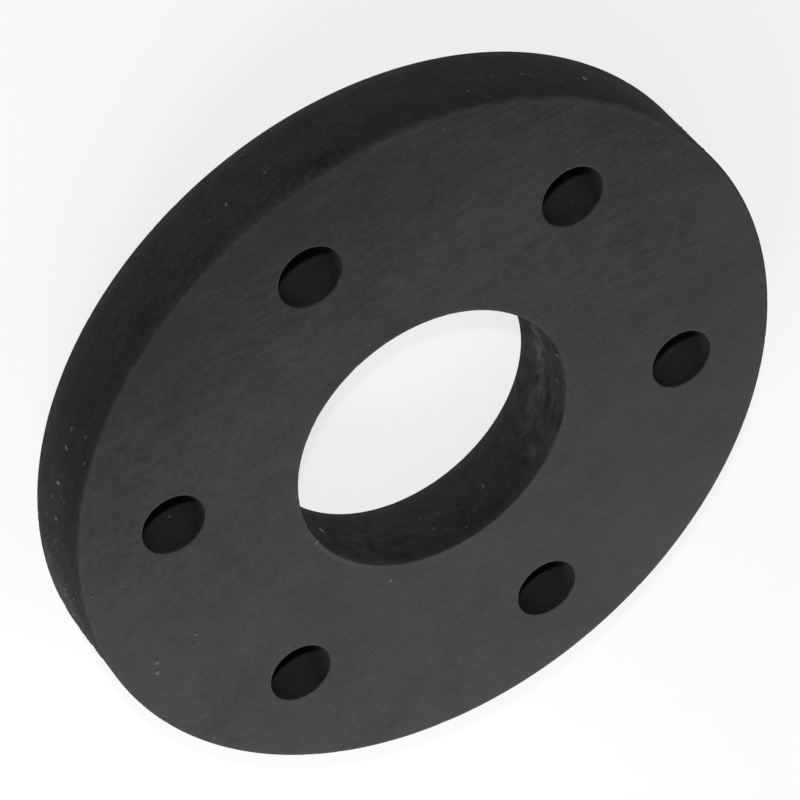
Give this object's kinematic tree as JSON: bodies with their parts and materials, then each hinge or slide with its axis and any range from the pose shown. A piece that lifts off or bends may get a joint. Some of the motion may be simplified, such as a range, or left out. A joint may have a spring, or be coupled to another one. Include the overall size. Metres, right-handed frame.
{
  "type": "rubber coupling disc",
  "caption": "Flat black rubber coupling disc with a wide bore and a ring of through holes for the pins that join two coupling halves.",
  "frame": {"origin": "centre of the disc's lower flat face, on its axis", "axes": "+Z along the disc's axis, up from the face it lies on; a pin hole lies on +Y and one on -Y"},
  "size_m": [0.1702, 0.1702, 0.0197],
  "materials": {
    "black_rubber": "matt, with a faint sheen at low angles"
  },
  "bodies": {
    "root": {"coupling_disc": "black_rubber"}
  },
  "joints": []
}
